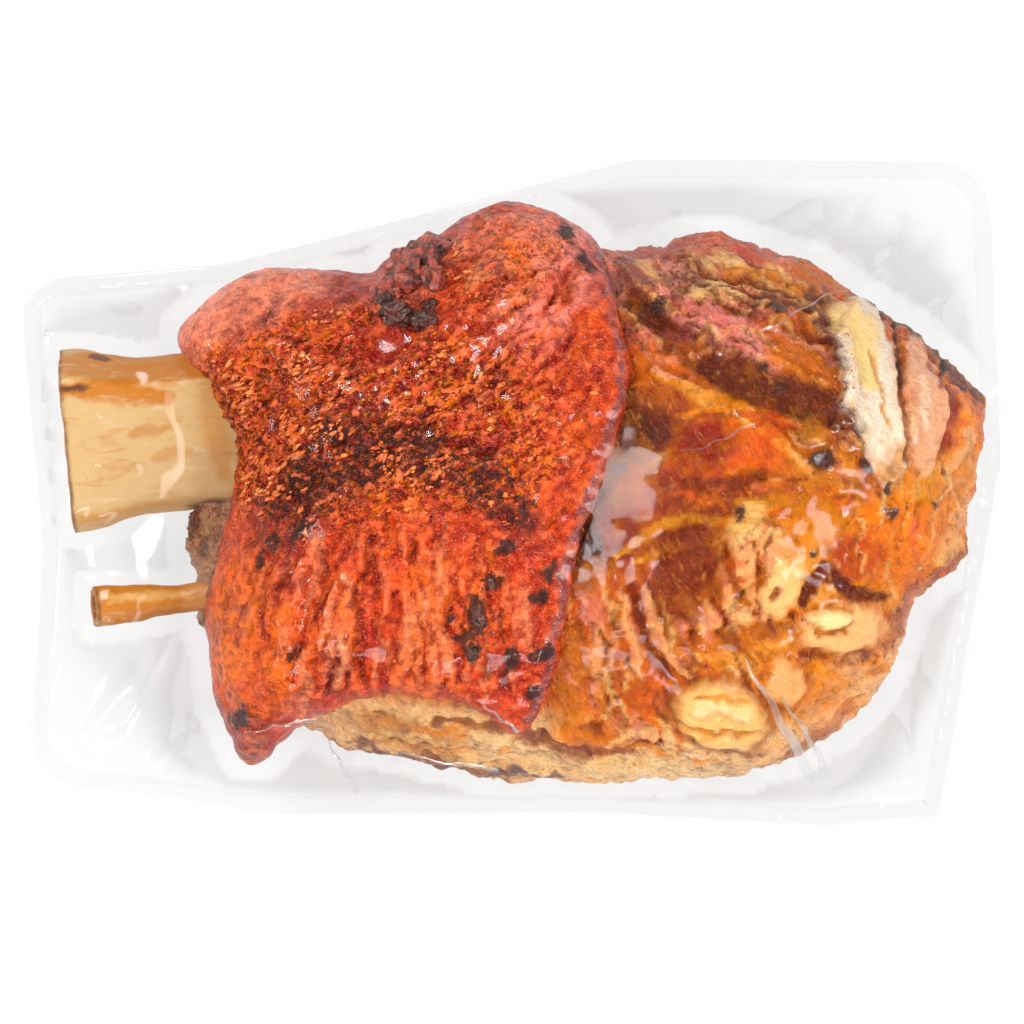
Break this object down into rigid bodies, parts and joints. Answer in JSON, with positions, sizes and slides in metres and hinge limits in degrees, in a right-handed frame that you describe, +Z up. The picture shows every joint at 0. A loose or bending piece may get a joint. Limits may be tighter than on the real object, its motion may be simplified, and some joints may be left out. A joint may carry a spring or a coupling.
{
  "type": "vacuum packed roast ham hock",
  "caption": "Roast ham hock with browned skin and bare shin bones, sealed in a clear vacuum pouch with a flat sealed margin, lying on its side.",
  "frame": {"origin": "on the table, under the middle of the pouch's bounding box", "axes": "+X from the bare bones to the thick end, +Y across the hock, +Z up from the table"},
  "size_m": [0.196, 0.1338, 0.0679],
  "materials": {
    "sealed_roast_hock": "glossy clear film over red-brown roast meat"
  },
  "bodies": {
    "root": {"sealed_pouch": "sealed_roast_hock"}
  },
  "joints": []
}
